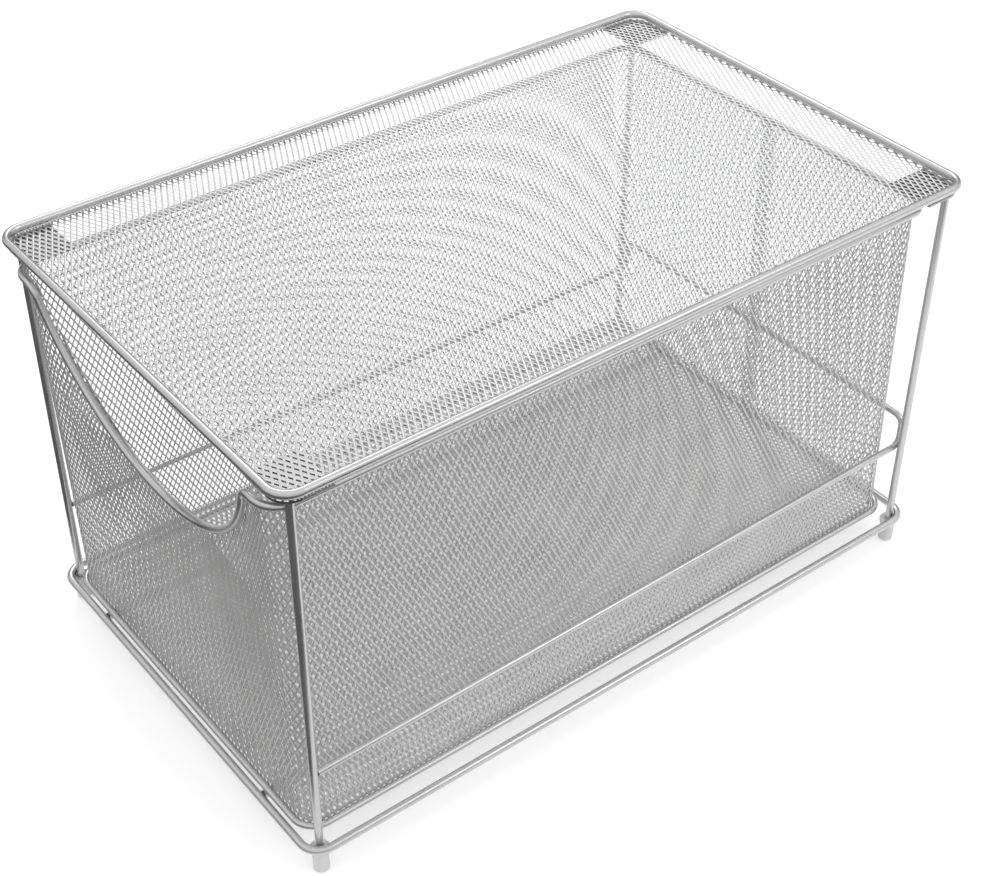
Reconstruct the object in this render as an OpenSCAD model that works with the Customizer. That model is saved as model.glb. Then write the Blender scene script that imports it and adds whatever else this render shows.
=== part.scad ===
// Pull-out cabinet basket: a wire frame with a perforated top that stands on four
// capped feet, and a mesh drawer with a scooped front that slides out of it.
// Millimetres. +Z is up, -Y is the front, +X is the right side seen from the front.
// The origin lies on the surface under the middle of the frame.

/* [Frame size] */
// Width over the frame's outer faces
width = 244.3; // [225:0.1:300]
// Depth over the frame's outer faces
depth = 393.7; // [330:0.1:500]
// Height from the surface to the top of the frame
height = 228.6; // [200:0.1:300]
// Height of the bottom loop's centre line above the surface
bottom_loop_height = 17; // [16:0.5:24]

/* [Frame wires] */
// Diameter of the wire in the two loops and the slide rails
loop_wire = 4.2; // [3.6:0.1:4.6]
// Bend radius of the loops, to the wire's centre line
loop_bend = 10; // [8:0.5:13]
// Diameter of the uprights
upright_wire = 4; // [3.4:0.1:4.6]
// Angle from the side at which an upright touches the inside of the loop's bend
upright_angle = 32; // [25:1:45]
// Distance from the frame's side face to a slide rail's centre line
slide_rail_inset = 47; // [25:1:80]

/* [Guard rail] */
// Diameter of the guard rail's wire
guard_wire = 3.4; // [2.8:0.1:4]
// Height of the guard rail along the two sides
guard_side_height = 63; // [45:1:90]
// How much higher the guard rail runs across the back
guard_rise = 18; // [17:0.5:40]
// Bend radius of the guard rail
guard_bend = 5; // [4:0.5:8]

/* [Drawer] */
// Distance from the frame's front face to the middle of the drawer's rim
rim_front_inset = 2; // [2:0.1:6]
// Distance from the frame's back face to the middle of the drawer's rim
rim_back_inset = 14.7; // [13:0.1:25]
// Distance from the frame's front face to the middle of the drawer's floor wire
floor_front_inset = 5.7; // [3:0.1:8]
// Distance from the frame's back face to the middle of the drawer's floor wire
floor_back_inset = 8.7; // [8:0.1:20]
// Distance from the top loop's centre line down to the rim's centre line
rim_drop = 13; // [12:0.5:20]
// Diameter of the rim's wire
rim_wire = 3.8; // [3:0.1:4.6]
// Bend radius of the rim's corners, to the wire's centre line
rim_bend = 12; // [10:0.5:16]
// Diameter of the floor wire
floor_wire = 3.2; // [2.6:0.1:4]
// How far the front wall bows inward at half its height
front_bow = 6.7; // [3:0.1:8]
// Clearance between the drawer's rim and the uprights
side_clearance = 0.6; // [0.4:0.1:1.5]
// Clearance between the floor wire and the rails that it slides on
slide_clearance = 0.3; // [0.2:0.05:0.6]

/* [Scoop] */
// How far the middle of the front rim dips, measured down the front
scoop_depth = 66.5; // [50:0.5:80]
// Radius of the scoop, to the wire's centre line
scoop_radius = 95; // [86:1:98]
// Bend radius where the scoop turns into the level rim
scoop_end_bend = 8; // [5:0.5:8]
// Length of the straight wire between the scoop's arc and its end bends
scoop_straight = 1; // [1:0.5:6]

/* [Mesh] */
// Thickness of the mesh sheets
sheet = 1.2; // [1:0.1:1.4]
// Long way of the diamond pattern
diamond_long = 28; // [24:1:60]
// Short way of the diamond pattern
diamond_short = 14; // [12:1:40]
// Width of the strands between the diamonds
strand = 3; // [2:0.5:4]
// Width of the overlap in the back wall, where the wall sheet's two ends meet
seam_width = 12; // [8:1:20]
// Distance of the overlap's middle from the middle of the back wall
seam_offset = 4; // [0:1:20]
// Length of a corner plate along the frame's front and back
corner_plate_width = 28; // [22:1:40]
// Length of a corner plate along the frame's sides
corner_plate_depth = 27; // [22:1:40]

/* [Feet] */
// Diameter of a foot cap's body
foot_diameter = 7.8; // [7.2:0.1:9]
// Diameter of the collar round the cap's mouth
foot_collar_diameter = 9.4; // [9.2:0.1:10]
// Height of the collar
foot_collar_height = 2; // [1.5:0.1:3]
// Size of the chamfer round the cap's foot
foot_chamfer = 1; // [0.5:0.1:1.5]
// Thickness of the cap under the upright's end
foot_sole = 5; // [3:0.5:7]

/* [Hidden] */

// Facets round a wire and round a wide arc
wire_fn = 32;
arc_fn = 180;

// Gap left between two pieces that are welded or pushed together
weld_gap = 0.05;
// Gap between the loops' underside and the foot caps
foot_gap = 0.4;
// How far a wire's straight runs reach into its bends, and by how much a bend is
// thicker than they are, so that each run ends inside the bend
lap = 0.2;
bend_swell = 0.02;

// A place rounded to a hundredth of a millimetre
function hundredth(size) = round(size * 100) / 100;

// Frame: centre lines of the loops and places of the uprights
loop_x = width / 2 - loop_wire / 2;
loop_y = depth / 2 - loop_wire / 2;
top_loop_z = height - loop_wire / 2;
upright_reach = loop_bend - loop_wire / 2 - upright_wire / 2 - 2 * weld_gap;
upright_x = hundredth(loop_x - loop_bend + upright_reach * cos(upright_angle));
upright_y = hundredth(loop_y - loop_bend + upright_reach * sin(upright_angle));

// The sheets stacked under the top loop
top_mesh_z = top_loop_z - loop_wire / 2 - weld_gap - sheet;
corner_plate_z = top_mesh_z - weld_gap - sheet;
upright_top = corner_plate_z - weld_gap;

// Foot caps
foot_height = bottom_loop_height - loop_wire / 2 - foot_gap;
foot_bore = upright_wire + 2 * weld_gap;
upright_bottom = foot_sole + weld_gap;

// Guard rail: it butts on the front uprights and rises beside the back ones
guard_front_x = upright_x - weld_gap;
guard_front_y = upright_y - upright_wire / 2 - weld_gap;
guard_back_x = upright_x - (upright_wire + guard_wire) / 2 - weld_gap;
guard_back_y = upright_y + upright_wire / 2;

// Drawer: the wall sheet's outer face lies inside the rim's and the floor's wires
rim_x = upright_x - upright_wire / 2 - side_clearance - rim_wire / 2;
rim_z = top_loop_z - rim_drop;
rim_front = depth / 2 - rim_front_inset;
rim_back = depth / 2 - rim_back_inset;
wall_x = rim_x - rim_wire / 2 - weld_gap;
wall_bend = rim_bend - rim_wire / 2 - weld_gap;
floor_wire_x = wall_x + weld_gap + floor_wire / 2;
floor_wire_z = bottom_loop_height + loop_wire / 2 + slide_clearance + floor_wire / 2;
floor_wire_front = depth / 2 - floor_front_inset;
floor_wire_back = depth / 2 - floor_back_inset;
floor_wire_bend = wall_bend + weld_gap + floor_wire / 2;
wall_bottom = floor_wire_z - sheet / 2;

// Scoop: half the angle that its arc spans, and the corner points of its wire
scoop_reach = scoop_radius + scoop_end_bend;
scoop_half_angle = acos((scoop_reach - scoop_depth) / norm([scoop_reach, scoop_straight]))
    - atan(scoop_straight / scoop_reach);
scoop_corner_depth = scoop_depth - scoop_radius + scoop_radius / cos(scoop_half_angle);
scoop_end_x = scoop_corner_depth / tan(scoop_half_angle);

// Distance of a wall's outer face from the drawer's middle, at the rim and at the floor
rim_offset = rim_wire / 2 + weld_gap;
floor_offset = floor_wire / 2 + weld_gap;
front_rim_face = rim_front - rim_offset;
front_floor_face = floor_wire_front - floor_offset;
back_rim_face = rim_back - rim_offset;
back_floor_face = floor_wire_back - floor_offset;

// The front wall's bow: its outer face lies on an arc round a level line in front of
// it. Points are [distance from the drawer's middle, height].
bow_chord = [front_rim_face - front_floor_face, rim_z - wall_bottom];
bow_middle = [front_rim_face + front_floor_face, rim_z + wall_bottom] / 2;
bow_radius = (norm(bow_chord) ^ 2 / 4 + front_bow ^ 2) / (2 * front_bow);
bow_outward = [bow_chord.y, -bow_chord.x] / norm(bow_chord);
bow_centre = bow_middle + bow_outward * (bow_radius - front_bow);
function bow_angle(z) = asin((z - bow_centre.y) / bow_radius);
function front_face(z) = bow_centre.x - bow_radius * cos(bow_angle(z));

// The plane of the scoop leans in from the rim so that its lowest stretch meets the wall
scoop_lean = atan((rim_front - rim_offset - front_face(rim_z - scoop_depth)) / scoop_depth);

// Signs of x and y at the four corners
FRONT_LEFT = [-1, -1];
FRONT_RIGHT = [1, -1];
BACK_LEFT = [-1, 1];
BACK_RIGHT = [1, 1];

// Cells of the diamond pattern: the long way lies across the flat sheets and stands
// upright in the walls
LYING = [diamond_long, diamond_short];
STANDING = [diamond_short, diamond_long];
// Plain edge that is left round the diamonds of the drawer's sheets
mesh_margin = sheet + strand;

FRAME_COLOUR = [0.66, 0.67, 0.68];
DRAWER_COLOUR = [0.62, 0.63, 0.64];
MESH_COLOUR = [0.72, 0.73, 0.74];
FOOT_COLOUR = [0.9, 0.9, 0.88];

// ---- Wires ----

function unit(v) = v / norm(v);
function turn(u, v) = acos(max(-1, min(1, u * v)));

// A straight round bar from one point to another
module bar(from, to, diameter) {
    run = to - from;
    translate(from)
        rotate([0, acos(run.z / norm(run)), atan2(run.y, run.x)])
            cylinder(h = norm(run), d = diameter, $fn = wire_fn);
}

// A round bend that leaves the direction u for v with its tangents meeting at point
module bend(point, u, v, radius, diameter) {
    angle = turn(u, v);
    inward = unit(v - u * cos(angle));
    side = cross(-inward, u);
    centre = point - u * radius * tan(angle / 2) + inward * radius;
    multmatrix([
        [-inward.x, u.x, side.x, centre.x],
        [-inward.y, u.y, side.y, centre.y],
        [-inward.z, u.z, side.z, centre.z],
        [0, 0, 0, 1]
    ])
        rotate_extrude(angle = angle, $fn = arc_fn)
            translate([radius, 0])
                circle(d = diameter + bend_swell, $fn = wire_fn);
}

// A wire bent along the corner points, with one bend radius for each point.
// An open wire's first and last points are its ends and their radii are 0.
module bent_wire(points, radii, diameter, closed = false) {
    count = len(points);
    runs = [for (i = [0:count - 1]) unit(points[(i + 1) % count] - points[i])];
    // How far short of each corner point the runs stop
    trims = [
        for (i = [0:count - 1])
            radii[i] == 0
            ? 0
            : radii[i] * tan(turn(runs[(i + count - 1) % count], runs[i]) / 2) - lap
    ];
    for (i = [0:closed ? count - 1 : count - 2]) {
        next = (i + 1) % count;
        bar(
            points[i] + runs[i] * trims[i],
            points[next] - runs[i] * trims[next],
            diameter
        );
    }
    for (i = [0:count - 1]) {
        if (radii[i] > 0) {
            bend(points[i], runs[(i + count - 1) % count], runs[i], radii[i], diameter);
        }
    }
}

// A closed level loop with four equal bends
module wire_loop(x, front, back, z, radius, diameter) {
    bent_wire(
        [[-x, -front, z], [x, -front, z], [x, back, z], [-x, back, z]],
        [radius, radius, radius, radius],
        diameter,
        closed = true
    );
}

// ---- Sheets ----

module rounded_rectangle(half_x, half_y, radius) {
    square([2 * half_x, 2 * (half_y - radius)], center = true);
    square([2 * (half_x - radius), 2 * half_y], center = true);
    for (side_x = [-1, 1], side_y = [-1, 1]) {
        translate([side_x * (half_x - radius), side_y * (half_y - radius)])
            circle(radius, $fn = 2 * wire_fn);
    }
}

module diamond(size) {
    polygon([[size.x / 2, 0], [0, size.y / 2], [-size.x / 2, 0], [0, -size.y / 2]]);
}

// The opening that leaves a strand's width between the diamonds of a pattern's cells
function opening(cell) = [
    cell.x - strand * norm(cell) / cell.y,
    cell.y - strand * norm(cell) / cell.x
];

// Staggered diamonds that fill a field from edge to edge, halved at its edges, with
// cells near the wanted size. Where fits(x, y) is false a diamond is left out.
module diamonds(half_x, half_y, cell, fits = function(x, y) true) {
    columns = round(2 * half_x / cell.x);
    rows = round(2 * half_y / cell.y);
    fitted = [2 * half_x / columns, 2 * half_y / rows];
    intersection() {
        square([2 * half_x, 2 * half_y], center = true);
        union() {
            for (column = [-columns:columns], row = [-rows:rows]) {
                x = column * fitted.x / 2;
                y = row * fitted.y / 2;
                if ((columns + rows + column + row) % 2 == 0 && fits(x, y)) {
                    translate([x, y]) diamond(opening(fitted));
                }
            }
        }
    }
}

// ---- Frame ----

module top_loop() {
    color(FRAME_COLOUR)
        wire_loop(loop_x, loop_y, loop_y, top_loop_z, loop_bend, loop_wire);
}

module top_mesh() {
    color(MESH_COLOUR)
        translate([0, 0, top_mesh_z])
            linear_extrude(sheet)
                difference() {
                    rounded_rectangle(loop_x, loop_y, loop_bend);
                    diamonds(
                        loop_x - loop_wire / 2 - strand,
                        loop_y - loop_wire / 2 - strand,
                        LYING,
                        function(x, y) !on_corner_plate(x, y)
                    );
                }
}

// Whether a diamond at x, y reaches over a corner plate
function on_corner_plate(x, y) =
    abs(x) + opening(LYING).x / 2 > width / 2 - corner_plate_width
    && abs(y) + opening(LYING).y / 2 > depth / 2 - corner_plate_depth;

// A thin plate under the top mesh that carries the upright's end
module corner_plate(corner) {
    plate_x = corner_plate_width - (width / 2 - loop_x);
    plate_y = corner_plate_depth - (depth / 2 - loop_y);
    color(FRAME_COLOUR)
        translate([0, 0, corner_plate_z])
            linear_extrude(sheet)
                intersection() {
                    rounded_rectangle(loop_x, loop_y, loop_bend);
                    translate([corner.x * (loop_x - plate_x / 2), corner.y * (loop_y - plate_y / 2)])
                        square([plate_x, plate_y], center = true);
                }
}

module upright(corner) {
    color(FRAME_COLOUR)
        translate([corner.x * upright_x, corner.y * upright_y, upright_bottom])
            cylinder(h = upright_top - upright_bottom, d = upright_wire, $fn = wire_fn);
}

module bottom_loop() {
    color(FRAME_COLOUR)
        wire_loop(loop_x, loop_y, loop_y, bottom_loop_height, loop_bend, loop_wire);
}

// A straight wire between the bottom loop's front and back that carries the drawer
module slide_rail(side) {
    x = width / 2 - slide_rail_inset;
    reach = loop_y - loop_wire / 2 - weld_gap;
    color(FRAME_COLOUR)
        bar(
            [side * x, -reach, bottom_loop_height],
            [side * x, reach, bottom_loop_height],
            loop_wire
        );
}

// One wire round the sides and the back that steps up beside the back uprights
module guard_rail() {
    back_z = guard_side_height + guard_rise;
    side = [
        [guard_front_x, -guard_front_y, guard_side_height],
        [guard_back_x, guard_back_y, guard_side_height],
        [guard_back_x, guard_back_y, back_z]
    ];
    path = [
        side[0], side[1], side[2],
        [-side[2].x, side[2].y, side[2].z],
        [-side[1].x, side[1].y, side[1].z],
        [-side[0].x, side[0].y, side[0].z]
    ];
    color(FRAME_COLOUR)
        bent_wire(path, [0, guard_bend, guard_bend, guard_bend, guard_bend, 0], guard_wire);
}

// A cap pushed over the upright's lower end, with a collar round its mouth
module foot(corner) {
    radius = foot_diameter / 2;
    color(FOOT_COLOUR)
        translate([corner.x * upright_x, corner.y * upright_y, 0])
            rotate_extrude($fn = 2 * wire_fn)
                polygon([
                    [0, 0],
                    [radius - foot_chamfer, 0],
                    [radius, foot_chamfer],
                    [radius, foot_height - foot_collar_height],
                    [foot_collar_diameter / 2, foot_height - foot_collar_height],
                    [foot_collar_diameter / 2, foot_height],
                    [foot_bore / 2, foot_height],
                    [foot_bore / 2, foot_sole],
                    [0, foot_sole]
                ]);
}

// ---- Drawer ----

// A point on the leaning front, at x and at a depth below the level rim
function on_scoop(x, down) = [
    x,
    -rim_front + down * sin(scoop_lean),
    rim_z - down * cos(scoop_lean)
];

// One wire round the drawer's mouth that dips into the scoop at the front
module rim_wire_loop() {
    color(DRAWER_COLOUR)
        bent_wire(
            [
                [-rim_x, -rim_front, rim_z],
                on_scoop(-scoop_end_x, 0),
                on_scoop(0, scoop_corner_depth),
                on_scoop(scoop_end_x, 0),
                [rim_x, -rim_front, rim_z],
                [rim_x, rim_back, rim_z],
                [-rim_x, rim_back, rim_z]
            ],
            [rim_bend, scoop_end_bend, scoop_radius, scoop_end_bend, rim_bend, rim_bend, rim_bend],
            rim_wire,
            closed = true
        );
}

module floor_wire_loop() {
    color(DRAWER_COLOUR)
        wire_loop(
            floor_wire_x, floor_wire_front, floor_wire_back, floor_wire_z, floor_wire_bend, floor_wire
        );
}

// The plan of the front or back wall: a flat sheet with a quarter round at each end.
// Its outer face lies at y = 0 and seam is the width of the overlap inside it.
module wall_plan(seam) {
    half_x = wall_x - wall_bend;
    for (side = [0, 1]) {
        mirror([side, 0]) {
            square([half_x, sheet]);
            translate([half_x, wall_bend])
                intersection() {
                    difference() {
                        circle(wall_bend, $fn = 2 * wire_fn);
                        circle(wall_bend - sheet, $fn = 2 * wire_fn);
                    }
                    translate([0, -wall_bend]) square(wall_bend);
                }
        }
    }
    if (seam > 0) {
        translate([-seam_offset - seam / 2, sheet - lap]) square([seam, sheet + lap]);
    }
}

// One column of openings through a wall's quarter round, between two heights, where
// face(z) is the y at which the wall's outer face lies
module corner_openings(bottom, top, face) {
    rows = floor((top - bottom) / diamond_long);
    pitch = (top - bottom) / rows;
    for (row = [0:rows - 1]) {
        z = bottom + (row + 0.5) * pitch;
        translate([wall_x - wall_bend, face(z) + wall_bend, z])
            rotate([90, 0, 45])
                linear_extrude(wall_bend + sheet)
                    diamond(opening(STANDING));
    }
}

// The diamonds of an end wall between its lower and upper edge, in its own plane
module wall_openings(bottom, top, fits = function(x, y) true) {
    middle = (bottom + top) / 2;
    translate([0, middle])
        diamonds(
            wall_x - wall_bend - strand,
            (top - bottom) / 2 - mesh_margin,
            STANDING,
            function(x, y) fits(x, y + middle)
        );
}

// The flat-topped and flat-bottomed band of space that the walls stand in
module wall_band() {
    translate([-width / 2, -depth / 2, wall_bottom])
        cube([width, depth, rim_z - wall_bottom]);
}

// Whether a diamond at x, z stays a strand below the scoop's wire
function below_scoop(x, z) =
    let (centre = rim_z + scoop_radius - scoop_depth)
    let (reach = scoop_radius + rim_wire / 2 + strand / 2)
    norm([max(0, abs(x) - opening(STANDING).x / 2), z - centre]) > reach
    && norm([x, z + opening(STANDING).y / 2 - centre]) > reach;

// The front wall: its plan swept up the bow, with the scoop cut down from the rim
module front_mesh() {
    low = bow_angle(wall_bottom) - 1;
    high = bow_angle(rim_z) + 1;
    color(MESH_COLOUR)
        difference() {
            intersection() {
                wall_band();
                translate([0, -bow_centre.x, bow_centre.y])
                    rotate([90, 0, 90])
                        rotate([0, 0, low])
                            rotate_extrude(angle = high - low, $fn = 4 * arc_fn)
                                translate([bow_radius, 0])
                                    mirror([1, -1])
                                        wall_plan(0);
            }
            rotate([90, 0, 0])
                linear_extrude(depth / 2)
                    wall_openings(wall_bottom, rim_z, function(x, z) below_scoop(x, z));
            translate([0, -rim_front, rim_z])
                rotate([90 + scoop_lean, 0, 0])
                    translate([0, scoop_radius - scoop_depth, -2 * wall_bend])
                        cylinder(h = 3 * wall_bend, r = scoop_radius, $fn = arc_fn);
            for (side = [0, 1]) {
                mirror([side, 0, 0])
                    corner_openings(wall_bottom, rim_z, function(z) -front_face(z));
            }
        }
}

// The back wall leans to follow its rim. The wall sheet's two ends overlap in it.
module back_mesh() {
    lean = -atan((back_floor_face - back_rim_face) / (rim_z - wall_bottom));
    length = (rim_z - wall_bottom) / cos(lean);
    color(MESH_COLOUR)
        rotate([0, 0, 180])
            intersection() {
                wall_band();
                translate([0, -back_rim_face, rim_z])
                    rotate([lean, 0, 0])
                        difference() {
                            translate([0, 0, -length - sheet])
                                linear_extrude(length + 2 * sheet)
                                    wall_plan(seam_width);
                            translate([0, 3 * sheet, 0])
                                rotate([90, 0, 0])
                                    linear_extrude(4 * sheet)
                                        wall_openings(-length, 0);
                            for (side = [0, 1]) {
                                mirror([side, 0, 0])
                                    corner_openings(-length, 0, function(z) 0);
                            }
                        }
            }
}

// A side wall, flat, between the corners that belong to the front and the back
module side_mesh(side) {
    bend_depth = wall_bend / cos(bow_angle(rim_z));
    back_top = back_rim_face - bend_depth;
    back_bottom = back_floor_face - bend_depth;
    bow_reach = bow_radius + wall_bend + weld_gap;
    first = bow_reach - bow_centre.x + strand;
    last = back_top - strand;
    color(MESH_COLOUR)
        translate([side * (wall_x - sheet / 2) - sheet / 2, 0, 0])
            rotate([90, 0, 90])
                linear_extrude(sheet)
                    difference() {
                        polygon([
                            [-front_rim_face, rim_z],
                            [-front_rim_face, wall_bottom],
                            [back_bottom, wall_bottom],
                            [back_top, rim_z]
                        ]);
                        translate([-bow_centre.x, bow_centre.y])
                            circle(bow_reach, $fn = 4 * arc_fn);
                        translate([(first + last) / 2, (rim_z + wall_bottom) / 2])
                            diamonds(
                                (last - first) / 2,
                                (rim_z - wall_bottom) / 2 - mesh_margin,
                                STANDING
                            );
                    }
}

// The floor, flush with the walls' lower edges and inside them
module floor_mesh() {
    front_lean = bow_angle(wall_bottom);
    front = front_face(wall_bottom + sheet) - sheet / cos(front_lean) - weld_gap;
    back = back_floor_face - sheet - 2 * weld_gap;
    half_x = wall_x - sheet - weld_gap;
    half_y = (front + back) / 2;
    color(MESH_COLOUR)
        translate([0, (back - front) / 2, wall_bottom])
            linear_extrude(sheet)
                difference() {
                    rounded_rectangle(half_x, half_y, wall_bend - sheet);
                    diamonds(half_x - mesh_margin, half_y - mesh_margin, LYING);
                    // Room for the lap of the back wall's seam
                    translate([seam_offset, half_y])
                        square([seam_width + 2 * weld_gap, 2 * (sheet + weld_gap)], center = true);
                }
}

top_loop();
top_mesh();
corner_plate(FRONT_LEFT);  // corner_plate_front_left
corner_plate(FRONT_RIGHT);  // corner_plate_front_right
corner_plate(BACK_LEFT);  // corner_plate_back_left
corner_plate(BACK_RIGHT);  // corner_plate_back_right
upright(FRONT_LEFT);  // upright_front_left
upright(FRONT_RIGHT);  // upright_front_right
upright(BACK_LEFT);  // upright_back_left
upright(BACK_RIGHT);  // upright_back_right
bottom_loop();
slide_rail(-1);  // slide_rail_left
slide_rail(1);  // slide_rail_right
guard_rail();
foot(FRONT_LEFT);  // foot_front_left
foot(FRONT_RIGHT);  // foot_front_right
foot(BACK_LEFT);  // foot_back_left
foot(BACK_RIGHT);  // foot_back_right
rim_wire_loop();  // rim_wire
floor_wire_loop();  // floor_wire
front_mesh();
back_mesh();
side_mesh(-1);  // left_mesh
side_mesh(1);  // right_mesh
floor_mesh();
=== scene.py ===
# %% [markdown]
# # A pull-out cabinet basket in silver coated wire and expanded steel
# The basket is a wire frame with a perforated top, and a drawer that slides out of it
# to the front. Wires, corner plates and feet come from the construction model and get
# their finish here. The six sheets of expanded steel are made here, strand by strand,
# because their openings are only a few millimetres long and there are about forty
# thousand of them. Everything is in metres: the front is -Y, right is +X and up is +Z.

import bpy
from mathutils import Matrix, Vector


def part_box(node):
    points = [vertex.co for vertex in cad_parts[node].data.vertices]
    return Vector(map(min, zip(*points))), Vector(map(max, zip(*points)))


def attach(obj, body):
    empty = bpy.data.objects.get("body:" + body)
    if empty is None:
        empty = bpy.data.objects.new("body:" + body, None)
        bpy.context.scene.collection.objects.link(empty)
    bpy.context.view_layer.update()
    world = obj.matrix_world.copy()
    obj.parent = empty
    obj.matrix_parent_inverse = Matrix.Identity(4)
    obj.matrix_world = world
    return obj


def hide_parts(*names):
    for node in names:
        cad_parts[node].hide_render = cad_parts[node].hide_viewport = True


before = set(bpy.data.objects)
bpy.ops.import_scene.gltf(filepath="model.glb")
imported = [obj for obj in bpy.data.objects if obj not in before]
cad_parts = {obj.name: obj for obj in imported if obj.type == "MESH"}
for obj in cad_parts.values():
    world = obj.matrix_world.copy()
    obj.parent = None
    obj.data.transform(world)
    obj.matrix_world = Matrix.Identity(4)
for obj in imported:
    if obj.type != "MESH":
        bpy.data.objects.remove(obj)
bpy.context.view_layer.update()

# %% [markdown]
# ## Libraries and units
# The shapes are worked out with Blender's mesh operators and a little trigonometry. Real
# sizes are written in millimetres and turned to metres by one factor. Colours are shown
# as they are, without a film look, so that the paint tones below stay what they say.

# %% Libraries and units
import math

import bmesh
import bpy
from mathutils import Matrix, Vector

MM = 0.001
bpy.context.scene.view_settings.view_transform = "Standard"
print("colours are shown as", bpy.context.scene.view_settings.view_transform)

# %% [markdown]
# ## Two helpers for materials
# Colours are written as sRGB hex values, as a paint chart gives them, and one function
# turns them to the linear values that a shader needs. Another adds one node with its
# settings and links, so that each material below reads as a list of what it is made of.

# %% Colour and node helpers


def srgb(hex_code, alpha=1.0):
    """Turns an sRGB hex value to linear red, green, blue and alpha."""
    channels = []
    for start in (0, 2, 4):
        value = int(hex_code[start : start + 2], 16) / 255
        linear = value / 12.92 if value <= 0.04045 else ((value + 0.055) / 1.055) ** 2.4
        channels.append(linear)
    return (*channels, alpha)


def add_node(tree, kind, settings=None, inputs=None, links=None):
    """Adds a node: settings are its attributes, inputs its values, links its sources."""
    node = tree.nodes.new(kind)
    for name, value in (settings or {}).items():
        setattr(node, name, value)
    for name, value in (inputs or {}).items():
        node.inputs[name].default_value = value
    for name, source in (links or {}).items():
        tree.links.new(source, node.inputs[name])
    return node


def new_material(name):
    """An empty node material and its tree."""
    material = bpy.data.materials.new(name)
    material.use_nodes = True
    material.node_tree.nodes.clear()
    return material, material.node_tree


print("white is", srgb("FFFFFF")[:3])

# %% [markdown]
# ## Silver coated steel wire
# The wires are mild steel rod, bent, welded and finished with a silver epoxy powder
# coat. Aluminium flakes in the coat give a soft metallic sheen, and the powder flows
# out into a fine orange peel with ripples about 0.8 mm apart. So the shader is mostly
# metallic with a wide highlight, its tone wanders a little over centimetres, and a
# shallow bump stands for the orange peel. The expanded steel gets the same coat, which
# lies duller and paler on its sharp strands. The corner plates get the coat in a darker
# tone, which is painted shade: it stands for the shade that the top sheet casts on them.

# %% Wire finish
FLAKE_SIZE = 0.35 * MM
FLAKE_SHARE = 0.25
PEEL_SIZE = 0.8 * MM
PEEL_HEIGHT = 0.02 * MM
TONE_SIZE = 25 * MM
TONE_LOW = 0.3
TONE_HIGH = 0.7
SMOOTHER = 0.04
ROUGHER = 0.05


def silver_coat(name, dark, light, metallic, roughness, peel):
    """A silver powder coat between two tones, with flakes and orange peel."""
    material, tree = new_material(name)
    place = add_node(tree, "ShaderNodeTexCoord")
    tone = add_node(
        tree,
        "ShaderNodeTexNoise",
        inputs={"Scale": 1 / TONE_SIZE, "Detail": 3.0},
        links={"Vector": place.outputs["Object"]},
    )
    flakes = add_node(
        tree,
        "ShaderNodeTexVoronoi",
        inputs={"Scale": 1 / FLAKE_SIZE},
        links={"Vector": place.outputs["Object"]},
    )
    ripple = add_node(
        tree,
        "ShaderNodeTexNoise",
        inputs={"Scale": 1 / PEEL_SIZE, "Detail": 2.0},
        links={"Vector": place.outputs["Object"]},
    )
    mixed = add_node(
        tree,
        "ShaderNodeMath",
        settings={"operation": "MULTIPLY_ADD", "use_clamp": True},
        inputs={1: FLAKE_SHARE},
        links={0: flakes.outputs["Distance"], 2: tone.outputs["Fac"]},
    )
    colour = add_node(
        tree,
        "ShaderNodeMix",
        settings={"data_type": "RGBA"},
        inputs={"A": srgb(dark), "B": srgb(light)},
        links={"Factor": mixed.outputs["Value"]},
    )
    gloss = add_node(
        tree,
        "ShaderNodeMapRange",
        inputs={
            "From Min": TONE_LOW,
            "From Max": TONE_HIGH,
            "To Min": roughness - SMOOTHER,
            "To Max": roughness + ROUGHER,
        },
        links={"Value": tone.outputs["Fac"]},
    )
    bump = add_node(
        tree,
        "ShaderNodeBump",
        inputs={"Strength": peel, "Distance": PEEL_HEIGHT},
        links={"Height": ripple.outputs["Fac"]},
    )
    surface = add_node(
        tree,
        "ShaderNodeBsdfPrincipled",
        inputs={"Metallic": metallic},
        links={
            "Base Color": colour.outputs["Result"],
            "Roughness": gloss.outputs["Result"],
            "Normal": bump.outputs["Normal"],
        },
    )
    add_node(
        tree,
        "ShaderNodeOutputMaterial",
        links={"Surface": surface.outputs["BSDF"]},
    )
    return material


wire_coat = silver_coat("silver_coated_wire", "BCBCBC", "D0D0D0", 0.9, 0.28, 0.4)
mesh_coat = silver_coat("silver_coated_expanded_steel", "C6C6C6", "DCDCDC", 0.75, 0.36, 0.2)
# The corner plates' darker tones are painted shade, for the shade that the top sheet casts on
# them.
plate_coat_painted_shade = silver_coat("silver_sheet_steel_painted_shade", "909090", "A6A6A6", 0.9, 0.24, 0.3)
print("coats:", wire_coat.name, mesh_coat.name, plate_coat_painted_shade.name)

# %% [markdown]
# ## Milky polyethylene feet
# The feet are moulded in natural polyethylene, which is milky: light enters the
# plastic and scatters, so edges look soft and slightly see-through. Subsurface
# scattering gives the glow, and a fine noise bump gives the matt skin of the mould.

# %% Foot finish
CLOUD_SIZE = 4 * MM
GRAIN_SIZE = 0.3 * MM
GRAIN_HEIGHT = 0.02 * MM
GLOW_DEPTH = 2 * MM

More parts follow.
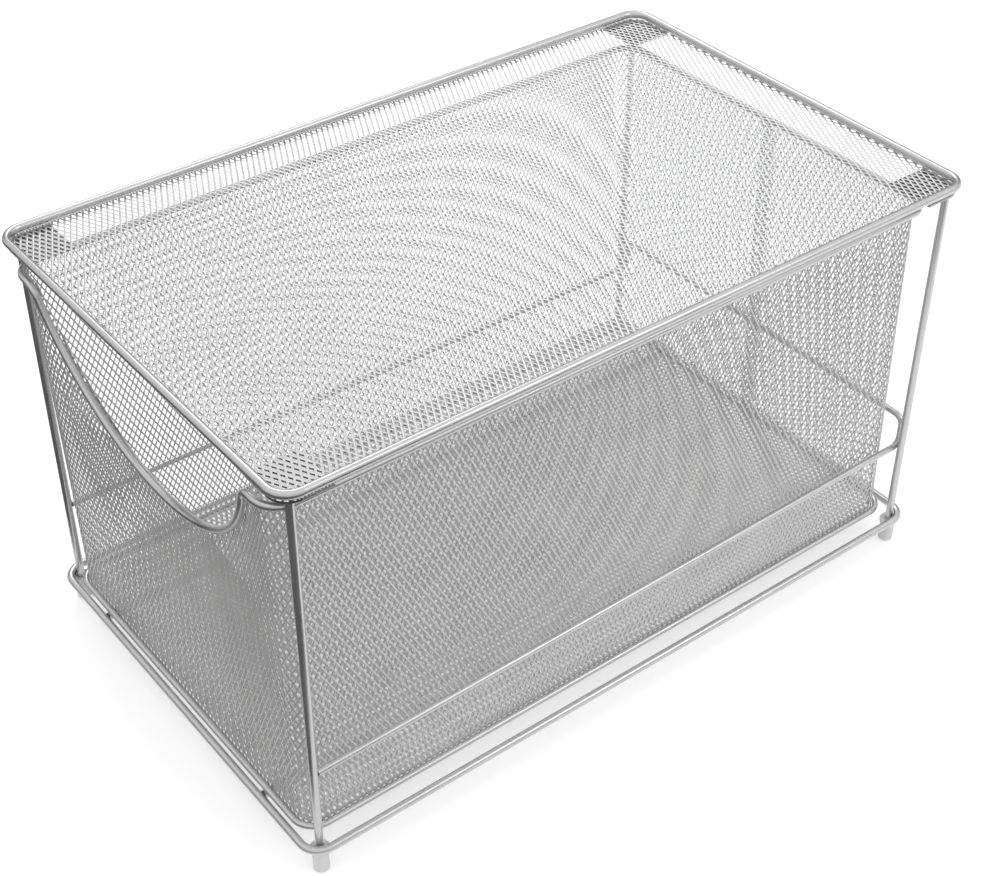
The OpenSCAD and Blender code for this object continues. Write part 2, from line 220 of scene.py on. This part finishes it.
milky, tree = new_material("milky_polyethylene")
place = add_node(tree, "ShaderNodeTexCoord")
cloud = add_node(
    tree,
    "ShaderNodeTexNoise",
    inputs={"Scale": 1 / CLOUD_SIZE, "Detail": 2.0},
    links={"Vector": place.outputs["Object"]},
)
milk = add_node(
    tree,
    "ShaderNodeMix",
    settings={"data_type": "RGBA"},
    inputs={"A": srgb("DADCDB"), "B": srgb("F0F1EF")},
    links={"Factor": cloud.outputs["Fac"]},
)
grain = add_node(
    tree,
    "ShaderNodeTexNoise",
    inputs={"Scale": 1 / GRAIN_SIZE, "Detail": 1.0},
    links={"Vector": place.outputs["Object"]},
)
skin = add_node(
    tree,
    "ShaderNodeBump",
    inputs={"Strength": 0.3, "Distance": GRAIN_HEIGHT},
    links={"Height": grain.outputs["Fac"]},
)
plastic = add_node(
    tree,
    "ShaderNodeBsdfPrincipled",
    inputs={
        "Roughness": 0.4,
        "IOR": 1.51,
        "Subsurface Weight": 0.5,
        "Subsurface Radius": (1.0, 1.0, 1.0),
        "Subsurface Scale": GLOW_DEPTH,
        "Transmission Weight": 0.15,
    },
    links={"Base Color": milk.outputs["Result"], "Normal": skin.outputs["Normal"]},
)
add_node(tree, "ShaderNodeOutputMaterial", links={"Surface": plastic.outputs["BSDF"]})
print("feet:", milky.name)

# %% [markdown]
# ## Finish the parts of the construction model
# Every wire gets the wire coat, the corner plates the darker sheet coat with its painted
# shade, and the feet the milky plastic. The construction model's own coarse sheets get
# the mesh coat too, although the fine sheets below stand in their place. Assigning to
# the material slots leaves the shapes as they are.

# %% Assign finishes


def finish_node(name, material):
    """Gives a node of the construction model its finish."""
    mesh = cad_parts[name].data
    mesh.materials.clear()
    mesh.materials.append(material)


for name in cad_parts:
    if name.startswith("foot_"):
        finish_node(name, milky)
    elif name.startswith("corner_plate_"):
        # The corner plates take the coat whose darker tone is painted shade.
        finish_node(name, plate_coat_painted_shade)
    elif name.endswith("_mesh"):
        finish_node(name, mesh_coat)
    else:
        finish_node(name, wire_coat)
print("finished", len(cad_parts), "nodes")

# %% [markdown]
# ## Expanded steel
# Expanded steel is sheet that is slit in staggered rows and stretched, so every slit
# opens to a diamond and nothing is cut away. All six sheets have cells of one size,
# about twice as long as they are wide. The strands between the cells differ: they are
# widest in the floor and narrowest in the walls.

# %% Cells and strands
CELL_LONG = 6.35 * MM
CELL_SHORT = 3.2 * MM
TOP_STRAND = 1.0 * MM
FLOOR_STRAND = 1.6 * MM
WALL_STRAND = 0.85 * MM
TOP_RIDGE = 0.13 * MM
FLOOR_RIDGE = 0.35 * MM
WALL_RIDGE = 0.3 * MM
WALL_LEAN = 0.08 * MM
print("cells of", CELL_LONG / MM, "by", CELL_SHORT / MM, "mm")

# %% [markdown]
# ## A pattern of cells
# Each sheet starts as a square grid that is turned by 45 degrees and squeezed, which
# makes staggered diamond cells without working out their corners one by one. The
# pattern is made larger than the sheet and is then cut to size.

# %% Pattern and cuts
CUT_SLACK = 1e-7


def diamond_grid(long_way, short_way, low, high, origin=(0.0, 0.0)):
    """Flat staggered diamonds that cover a rectangle, with a cell at the origin."""
    bm = bmesh.new()
    reach_u = (high[0] - low[0]) / long_way
    reach_v = (high[1] - low[1]) / short_way
    count = 2 * (int(reach_u + reach_v) // 2 + 2)
    bmesh.ops.create_grid(bm, x_segments=count, y_segments=count, size=count / 2)
    squeeze = Matrix.Diagonal((long_way / math.sqrt(2), short_way / math.sqrt(2), 1, 1))
    turn = Matrix.Rotation(math.pi / 4, 4, "Z")
    middle_u = round(((low[0] + high[0]) / 2 - origin[0]) / long_way) * long_way
    middle_v = round(((low[1] + high[1]) / 2 - origin[1]) / short_way) * short_way
    shift = (origin[0] + middle_u, origin[1] + middle_v + short_way / 2, 0)
    place = Matrix.Translation(shift) @ squeeze @ turn
    bmesh.ops.transform(bm, matrix=place, verts=bm.verts)
    outside = []
    for face in bm.faces:
        centre = face.calc_center_median()
        if not (
            low[0] - long_way < centre.x < high[0] + long_way
            and low[1] - short_way < centre.y < high[1] + short_way
        ):
            outside.append(face)
    bmesh.ops.delete(bm, geom=outside, context="FACES")
    return bm


def cut_away(bm, point, direction):
    """Cuts the flat sheet along a line and removes the side that direction points to."""
    bmesh.ops.bisect_plane(
        bm,
        geom=bm.verts[:] + bm.edges[:] + bm.faces[:],
        dist=CUT_SLACK,
        plane_co=Vector((*point, 0)),
        plane_no=Vector((*direction, 0)),
        clear_outer=True,
    )


print("a whole cell covers", round(CELL_LONG * CELL_SHORT / 2 / MM**2, 1), "square mm")

# %% [markdown]
# ## Open the cells
# Each cell is inset by half a strand and its middle removed, and the strands are left.
# They get a low ridge along their middle on both sides, which is cheaper than four
# walls in every opening and catches light as the turned strands of the real sheet do.
# In the walls the outer ridge sits a little lower than the inner one, because
# stretching leaves the strands leaning: from outside and above, the walls look more
# closed than from inside. Cells that a cut has left very small are taken out first,
# because the inset would turn them inside out.

# %% Open the cells
SMALLEST_CELL = 0.9 * MM
WELD_REACH = 1e-6


def drop_slivers(bm):
    """Removes cells that a cut has left too small to open."""
    slivers = [face for face in bm.faces if face.calc_area() < SMALLEST_CELL**2]
    bmesh.ops.delete(bm, geom=slivers, context="FACES")


def open_cells(bm, strand, ridge, lean=0.0):
    """Opens every cell, ridges the strands on both sides and closes the sheet's edge."""
    drop_slivers(bm)
    middles = list(bm.verts)
    upper = set(middles)
    cells = list(bm.faces)
    bmesh.ops.inset_individual(bm, faces=cells, thickness=strand / 2, use_even_offset=True)
    bmesh.ops.delete(bm, geom=cells, context="FACES")
    edge_of_sheet = [e for e in bm.edges if e.is_boundary and upper.issuperset(e.verts)]
    copy = bmesh.ops.duplicate(bm, geom=bm.verts[:] + bm.edges[:] + bm.faces[:])
    lower_faces = [item for item in copy["geom"] if isinstance(item, bmesh.types.BMFace)]
    lower_middles = [copy["vert_map"][vertex] for vertex in middles]
    bmesh.ops.reverse_faces(bm, faces=lower_faces)
    bmesh.ops.translate(bm, verts=middles, vec=(0, -lean, ridge))
    bmesh.ops.translate(bm, verts=lower_middles, vec=(0, lean, -ridge))
    skirt = bmesh.ops.extrude_edge_only(bm, edges=edge_of_sheet)
    skirt_foot = [item for item in skirt["geom"] if isinstance(item, bmesh.types.BMVert)]
    bmesh.ops.translate(bm, verts=skirt_foot, vec=(0, 2 * lean, -2 * ridge))
    joined = [vertex for vertex in bm.verts if vertex not in upper]
    bmesh.ops.remove_doubles(bm, verts=joined, dist=WELD_REACH)


print("cells under", round(SMALLEST_CELL**2 / MM**2, 2), "square mm are taken out")

# %% [markdown]
# ## A sheet becomes a piece
# A finished sheet rides on its body and stands in the place of the coarse sheet of the
# construction model. An edge that has no face on one side would be a hole in the
# surface, so such edges are counted.

# %% A sheet becomes a piece


def finish_sheet(bm, name, body, node):
    """Turns a finished sheet into a piece that rides on a body and replaces a node."""
    bmesh.ops.recalc_face_normals(bm, faces=bm.faces)
    mesh = bpy.data.meshes.new(name)
    bm.to_mesh(mesh)
    open_edges = sum(1 for edge in bm.edges if len(edge.link_faces) != 2)
    bm.free()
    piece = bpy.data.objects.new(name, mesh)
    bpy.context.scene.collection.objects.link(piece)
    mesh.materials.append(mesh_coat)
    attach(piece, body)
    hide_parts(node)
    triangles = sum(len(face.vertices) - 2 for face in mesh.polygons)
    print(name, triangles, "triangles,", open_edges, "open edges")


print("the sheets get", mesh_coat.name)

# %% [markdown]
# ## The flat sheets
# The top sheet is welded under the top loop and the floor sheet closes the drawer from
# below. Both are cut straight through the cells, with rounded corners that a few more
# cuts make, and the welded wire hides their edge.

# %% Flat sheets
CORNER_CUTS = 6
TOP_CORNER = 10 * MM
FLOOR_CORNER = 9 * MM


def flat_sheet(name, body, node, corner, strand, ridge):
    """A flat sheet of expanded steel in the place of a flat node."""
    low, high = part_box(node)
    middle = (low + high) / 2
    half = (high - low) / 2
    bm = diamond_grid(CELL_LONG, CELL_SHORT, -half.xy, half.xy)
    for side in (-1, 1):
        cut_away(bm, (side * half.x, 0), (side, 0))
        cut_away(bm, (0, side * half.y), (0, side))
    for side_x in (-1, 1):
        for side_y in (-1, 1):
            for step in range(CORNER_CUTS):
                angle = (step + 0.5) / CORNER_CUTS * math.pi / 2
                out = Vector((side_x * math.cos(angle), side_y * math.sin(angle)))
                centre = Vector((side_x * (half.x - corner), side_y * (half.y - corner)))
                cut_away(bm, centre + out * corner, out)
    open_cells(bm, strand, ridge)
    bmesh.ops.translate(bm, verts=bm.verts, vec=middle)
    finish_sheet(bm, name, body, node)


flat_sheet("expanded_top", "frame", "top_mesh", TOP_CORNER, TOP_STRAND, TOP_RIDGE)
flat_sheet(
    "expanded_floor",
    "drawer",
    "floor_mesh",
    FLOOR_CORNER,
    FLOOR_STRAND,
    FLOOR_RIDGE,
)

# %% [markdown]
# ## The four walls
# On the real drawer one strip of expanded steel is wrapped round the wires and lapped
# at the back. So the walls share one pattern that runs round the corners: each wall
# takes the whole cells whose centres lie on its part of the way round, and the strands
# at its edges fit those of the next wall. The sizes come first, and the height and the
# width are read from the construction model.

# %% Sizes of the walls
SHEET = 1.2 * MM
WALL_BEND = 10 * MM
FRONT_RIM = -192.9 * MM
FRONT_FLOOR = -189.5 * MM
BACK_RIM = 180.2 * MM
BACK_FLOOR = 186.5 * MM

wall_low, wall_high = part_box("right_mesh")
RIM_Z = wall_high.z
WALL_BOTTOM = wall_low.z
WALL_X = wall_high.x - SHEET / 2
BEND = WALL_BEND - SHEET / 2
ARC = BEND * math.pi / 2
FLAT_X = WALL_X - BEND
print("walls from", WALL_BOTTOM, "to", RIM_Z, "half width", WALL_X)

# %% [markdown]
# ## Shape of the end walls
# The back wall leans, and the front wall leans and is dished inwards between its two
# wires. One function for each gives the y of its middle, so that the bent strip and the
# side walls meet. The dish has its full depth in the middle and as far out as the scoop
# cuts the wall, and from there it runs out smoothly to the corners.

# %% Shape of the end walls
FRONT_BOW = 6.7 * MM
BOW_FULL = 20 * MM
BOW_LIMIT = 0.9
SCOOP_RADIUS = 95 * MM
SCOOP_DEPTH = 66.5 * MM


def between(start, end, share):
    """A value that goes from start to end as share goes from 0 to 1."""
    return start + (end - start) * share


def height_share(z):
    """0 at the drawer's floor and 1 at its rim."""
    return (z - WALL_BOTTOM) / (RIM_Z - WALL_BOTTOM)


def front_y(x, z):
    """The y of the front wall's middle, which is dished between its corners."""
    straight = between(FRONT_FLOOR, FRONT_RIM, height_share(z)) + SHEET / 2
    bow = FRONT_BOW * (1 - (2 * height_share(z) - 1) ** 2)
    drop = RIM_Z + SCOOP_RADIUS - SCOOP_DEPTH - z
    on_wire = math.sqrt(max(0.0, SCOOP_RADIUS**2 - drop**2))
    inner = min(max(on_wire, BOW_FULL), BOW_LIMIT * FLAT_X)
    to_corner = min(1.0, max(0.0, (FLAT_X - abs(x)) / (FLAT_X - inner)))
    return straight + bow * to_corner * to_corner * (3 - 2 * to_corner)


def back_y(z):
    """The y of the back wall's middle, which leans."""
    return between(BACK_FLOOR, BACK_RIM, height_share(z)) - SHEET / 2


half_height = (WALL_BOTTOM + RIM_Z) / 2
print("the front wall is dished to", round(front_y(0, half_height) / MM, 1), "mm")

# %% [markdown]
# ## Cut flat, then bend
# The strip is cut and opened while it is flat, where cuts are straight and every strand
# gets its even width, and is then bent round the corners. In the scoop whole cells are
# removed, and the corners at its edge are drawn to the arc of the rim wire.

# %% Cuts and bend


def keep_columns(bm, low, high):
    """Keeps the whole cells whose centres are between two distances along the strip."""
    gone = [f for f in bm.faces if not low <= f.calc_center_bounds().x < high]
    bmesh.ops.delete(bm, geom=gone, context="FACES")


def cut_heights(bm):
    """Cuts a strip at the rim and at the floor."""
    cut_away(bm, (0, RIM_Z), (0, 1))
    cut_away(bm, (0, WALL_BOTTOM), (0, -1))


def cut_scoop(bm):
    """Removes the cells in the scoop and draws the cut cells' corners to its edge."""
    centre = Vector((0, RIM_Z + SCOOP_RADIUS - SCOOP_DEPTH))
    gone = [f for f in bm.faces if (f.calc_center_bounds().xy - centre).length < SCOOP_RADIUS]
    bmesh.ops.delete(bm, geom=gone, context="FACES")
    for vertex in bm.verts:
        out = vertex.co.xy - centre
        near = abs(out.length - SCOOP_RADIUS) < CELL_LONG / 2 and vertex.is_boundary
        below_rim = vertex.co.y < RIM_Z - CELL_LONG / 2
        if out.length < SCOOP_RADIUS or (near and below_rim and abs(out.x) < FLAT_X - ARC / 2):
            vertex.co.xy = centre + out.normalized() * SCOOP_RADIUS


def bend_end_wall(bm, middle_y, sign):
    """Bends a flat strip to an end wall with two corners: x is along it and y is height."""
    for vertex in bm.verts:
        along, z, out = vertex.co
        side = math.copysign(1, along)
        past = max(0.0, abs(along) - FLAT_X)
        angle = past / BEND
        x = side * (min(abs(along), FLAT_X) + BEND * math.sin(angle))
        y = middle_y(x, z) + sign * BEND * (1 - math.cos(angle))
        vertex.co = (x + side * out * math.sin(angle), y - sign * out * math.cos(angle), z)


print("an end wall's strip is", round(2 * (FLAT_X + ARC) / MM, 1), "mm long")

# %% [markdown]
# ## The lap
# Where the strip's two ends meet at the back, one lies inside the other. The second
# layer is three cells wide and half a cell out of step with the first, so the band
# looks denser than the wall beside it.

# %% Lap
LAP_MIDDLE = 4 * MM
LAP_WIDTH = 3 * CELL_SHORT
LAP_INSIDE = 0.8 * MM


def add_lap(bm):
    """Lays the strip's other end inside the back wall, half a cell out of step with it."""
    low = (LAP_MIDDLE - LAP_WIDTH / 2, WALL_BOTTOM - CELL_LONG)
    high = (LAP_MIDDLE + LAP_WIDTH / 2, RIM_Z + CELL_LONG)
    lap = diamond_grid(CELL_SHORT, CELL_LONG, low, high, (CELL_SHORT / 2, 0.0))
    keep_columns(lap, low[0], high[0])
    cut_heights(lap)
    open_cells(lap, WALL_STRAND, WALL_RIDGE, WALL_LEAN)
    bmesh.ops.translate(lap, verts=lap.verts, vec=(0, 0, -LAP_INSIDE))
    mesh = bpy.data.meshes.new("lap")
    lap.to_mesh(mesh)
    lap.free()
    bm.from_mesh(mesh)
    bpy.data.meshes.remove(mesh)


print("the lap is", round(LAP_WIDTH / MM, 1), "mm wide")

# %% [markdown]
# ## Make the walls
# The front wall and the back wall take two corners each, so every corner is bent in one
# piece with a flat stretch. The side walls are then plain strips between them.

# %% Walls


def end_wall(name, node, middle_y, sign, scoop):
    """The front wall with the scoop or the back wall with the lap, and two corners."""
    reach = FLAT_X + ARC
    low = (-reach, WALL_BOTTOM - CELL_LONG)
    high = (reach, RIM_Z + CELL_LONG)
    bm = diamond_grid(CELL_SHORT, CELL_LONG, low, high)
    keep_columns(bm, -reach, reach)
    cut_heights(bm)
    if scoop:
        cut_scoop(bm)
    open_cells(bm, WALL_STRAND, WALL_RIDGE, WALL_LEAN)
    if not scoop:
        add_lap(bm)
    bend_end_wall(bm, middle_y, sign)
    finish_sheet(bm, name, "drawer", node)


def side_wall(name, node, side):
    """A side wall between the front and the back corners."""
    front = between(FRONT_FLOOR, FRONT_RIM, 0.5) + SHEET / 2 + BEND
    start = FLAT_X + ARC
    reach = BACK_RIM - front
    low = (start - CELL_SHORT, WALL_BOTTOM - CELL_LONG)
    high = (start + reach, RIM_Z + CELL_LONG)
    bm = diamond_grid(CELL_SHORT, CELL_LONG, low, high)
    keep_columns(bm, start, start + reach - BEND)
    cut_heights(bm)
    open_cells(bm, WALL_STRAND, WALL_RIDGE, WALL_LEAN)
    for vertex in bm.verts:
        along, z, out = vertex.co
        share = (along - start) / (reach - BEND)
        first = front_y(WALL_X, z) + BEND
        last = back_y(z) - BEND
        vertex.co = (side * (WALL_X + out), between(first, last, share), z)
    finish_sheet(bm, name, "drawer", node)


end_wall("expanded_front", "front_mesh", front_y, 1, True)
end_wall("expanded_back", "back_mesh", lambda x, z: back_y(z), -1, False)
side_wall("expanded_left", "left_mesh", -1)
side_wall("expanded_right", "right_mesh", 1)

# %% [markdown]
# ## Camera
# The camera stands in front of the basket, to its right and above it, with a lens of
# about 66 mm on a 36 mm wide frame, and is rolled by a third of a degree. It is placed
# by its turn from north, its tilt from level and its roll, as one would read them off a
# tripod head, and the three are made into the camera's axes.

# %% Camera
CAMERA_PLACE = Vector((0.5860, -0.4533, 0.6722))
CAMERA_TURN = math.radians(-52.00)
CAMERA_TILT = math.radians(-38.22)
CAMERA_ROLL = math.radians(0.29)
FOCAL_PIXELS = 1821.8
PICTURE_WIDTH = 1000
SENSOR_WIDTH = 36

lens = bpy.data.cameras.new("camera")
lens.sensor_width = SENSOR_WIDTH
lens.lens = FOCAL_PIXELS / PICTURE_WIDTH * SENSOR_WIDTH
camera = bpy.data.objects.new("camera", lens)
ahead = Vector(
    (
        math.sin(CAMERA_TURN) * math.cos(CAMERA_TILT),
        math.cos(CAMERA_TURN) * math.cos(CAMERA_TILT),
        math.sin(CAMERA_TILT),
    )
)
level = Vector((math.cos(CAMERA_TURN), -math.sin(CAMERA_TURN), 0))
above = level.cross(ahead)
right = level * math.cos(CAMERA_ROLL) + above * math.sin(CAMERA_ROLL)
up = above * math.cos(CAMERA_ROLL) - level * math.sin(CAMERA_ROLL)
camera.matrix_world = Matrix.Translation(CAMERA_PLACE) @ Matrix(
    (
        (right.x, up.x, -ahead.x, 0),
        (right.y, up.y, -ahead.y, 0),
        (right.z, up.z, -ahead.z, 0),
        (0, 0, 0, 1),
    )
)
bpy.context.scene.collection.objects.link(camera)
bpy.context.scene.camera = camera
print("lens", round(lens.lens, 2), "mm")

# %% [markdown]
# ## Floor
# The floor is a pale matt plane that catches the basket's soft shadow. A small glow of
# its own, seen by the camera, in reflections and through clear things, lifts it to the
# white of the world. It is the same everywhere, because the drawer moves, and its real
# shadow has to move with it.

# %% Floor
FLOOR_REACH = 6.0
FLOOR_LIFT = 0.4

floor_paper, tree = new_material("white_paper")
path = add_node(tree, "ShaderNodeLightPath")
paper = add_node(
    tree,
    "ShaderNodeBsdfDiffuse",
    inputs={"Color": srgb("E6E6E6"), "Roughness": 0.5},
)
camera_or_glossy = add_node(
    tree,
    "ShaderNodeMath",
    settings={"operation": "MAXIMUM"},
    links={0: path.outputs["Is Camera Ray"], 1: path.outputs["Is Glossy Ray"]},
)
seen = add_node(
    tree,
    "ShaderNodeMath",
    settings={"operation": "MAXIMUM"},
    links={0: camera_or_glossy.outputs["Value"], 1: path.outputs["Is Transmission Ray"]},
)
strength = add_node(
    tree,
    "ShaderNodeMath",
    settings={"operation": "MULTIPLY"},
    inputs={1: FLOOR_LIFT},
    links={0: seen.outputs["Value"]},
)
lift = add_node(
    tree,
    "ShaderNodeEmission",
    inputs={"Color": srgb("FFFFFF")},
    links={"Strength": strength.outputs["Value"]},
)
both = add_node(
    tree,
    "ShaderNodeAddShader",
    links={0: paper.outputs["BSDF"], 1: lift.outputs["Emission"]},
)
add_node(tree, "ShaderNodeOutputMaterial", links={"Surface": both.outputs["Shader"]})

bm = bmesh.new()
bmesh.ops.create_grid(bm, x_segments=1, y_segments=1, size=FLOOR_REACH)
floor_mesh = bpy.data.meshes.new("floor")
bm.to_mesh(floor_mesh)
bm.free()
floor = bpy.data.objects.new("floor", floor_mesh)
floor_mesh.materials.append(floor_paper)
bpy.context.scene.collection.objects.link(floor)
print("floor", floor.dimensions[:2])

# %% [markdown]
# ## World and lamps
# The world is even and white. A wide lamp stands high behind the basket on the left and
# a smaller one behind it on the right. They give the long soft highlights on the wires.

# %% World and lamps
AIM = (0, 0, 0.1)

world = bpy.data.worlds.new("studio")
bpy.context.scene.world = world
world.use_nodes = True
tree = world.node_tree
tree.nodes.clear()
white = add_node(tree, "ShaderNodeBackground", inputs={"Color": srgb("FFFFFF"), "Strength": 1.0})
add_node(tree, "ShaderNodeOutputWorld", links={"Surface": white.outputs["Background"]})


def soft_lamp(name, place, size, watts):
    """A square area lamp that faces the middle of the basket."""
    light = bpy.data.lights.new(name, "AREA")
    light.size = size
    light.energy = watts
    lamp = bpy.data.objects.new(name, light)
    lamp.location = place
    aim = Vector(AIM) - Vector(place)
    lamp.rotation_euler = aim.to_track_quat("-Z", "Y").to_euler()
    bpy.context.scene.collection.objects.link(lamp)


soft_lamp("overhead", place=(-1.1, 0.5, 1.4), size=0.8, watts=4)
soft_lamp("right", place=(1.1, 0.8, 1.2), size=0.6, watts=2.5)

# %% [markdown]
# ## Dark flags
# Coated metal shows what stands round it, and with nothing but white around, its edges
# would vanish. So studios put dark cards beside metal. These are seen only in
# reflections: a curtain all round, which is darker from the left of the basket round to
# straight behind it, and two black cards on the floor. One starts about three
# centimetres in front of the closed basket, and the other a few centimetres off its
# front right corner, at an angle.

# %% Flags
CURTAIN_RADIUS = 3.0
CURTAIN_HEIGHT = 1.9
CURTAIN_SIDES = 64
CURTAIN_GREY = 0.75
BACKDROP_GREY = 0.25
BACKDROP_START = -0.3 * CURTAIN_RADIUS
FLAG_GREY = 0.06
FLAG_REACH = 2.0
FRONT_FLAG_START = 0.23
CORNER_FLAG_START = 0.29
CORNER_FLAG_TURN = math.radians(-38)
FRONT_FLAG_LIFT = 0.5 * MM
CORNER_FLAG_LIFT = 0.7 * MM


def flag_cloth(name, grey):
    """A cloth that shows one even grey in reflections."""
    material, tree = new_material(name)
    glow = add_node(tree, "ShaderNodeEmission", inputs={"Strength": grey})
    add_node(tree, "ShaderNodeOutputMaterial", links={"Surface": glow.outputs["Emission"]})
    return material


def floor_card(start, lift, side, turn):
    """A square card that starts at a distance from the middle, to one side of it."""
    bm = bmesh.new()
    bmesh.ops.create_grid(bm, x_segments=1, y_segments=1, size=FLAG_REACH)
    middle = Vector(side) * (start + FLAG_REACH) + Vector((0, 0, lift))
    bmesh.ops.translate(bm, verts=bm.verts, vec=middle)
    bmesh.ops.rotate(bm, verts=bm.verts, matrix=Matrix.Rotation(turn, 3, "Z"))
    return bm


def hang_flag(name, bm, *cloths):
    """Makes a flag that only reflections see."""
    mesh = bpy.data.meshes.new(name)
    bm.to_mesh(mesh)
    bm.free()
    for cloth in cloths:
        mesh.materials.append(cloth)
    flag = bpy.data.objects.new(name, mesh)
    for ray in ("camera", "diffuse", "transmission", "volume_scatter", "shadow"):
        setattr(flag, "visible_" + ray, False)
    bpy.context.scene.collection.objects.link(flag)


pale_cloth = flag_cloth("pale_curtain_cloth", CURTAIN_GREY)
grey_cloth = flag_cloth("grey_curtain_cloth", BACKDROP_GREY)
black_cloth = flag_cloth("black_flag_cloth", FLAG_GREY)

bm = bmesh.new()
bmesh.ops.create_circle(bm, segments=CURTAIN_SIDES, radius=CURTAIN_RADIUS)
raised = bmesh.ops.extrude_edge_only(bm, edges=bm.edges[:])
top_ring = [item for item in raised["geom"] if isinstance(item, bmesh.types.BMVert)]
bmesh.ops.translate(bm, verts=top_ring, vec=(0, 0, CURTAIN_HEIGHT))
for face in bm.faces:
    middle = face.calc_center_median()
    behind = middle.x < 0 and middle.y > BACKDROP_START
    face.material_index = 1 if behind else 0
hang_flag("curtain", bm, pale_cloth, grey_cloth)

bm = floor_card(FRONT_FLAG_START, FRONT_FLAG_LIFT, (0, -1, 0), 0.0)
hang_flag("front_flag", bm, black_cloth)
bm = floor_card(CORNER_FLAG_START, CORNER_FLAG_LIFT, (1, 0, 0), CORNER_FLAG_TURN)
hang_flag("corner_flag", bm, black_cloth)
print("flags hung")
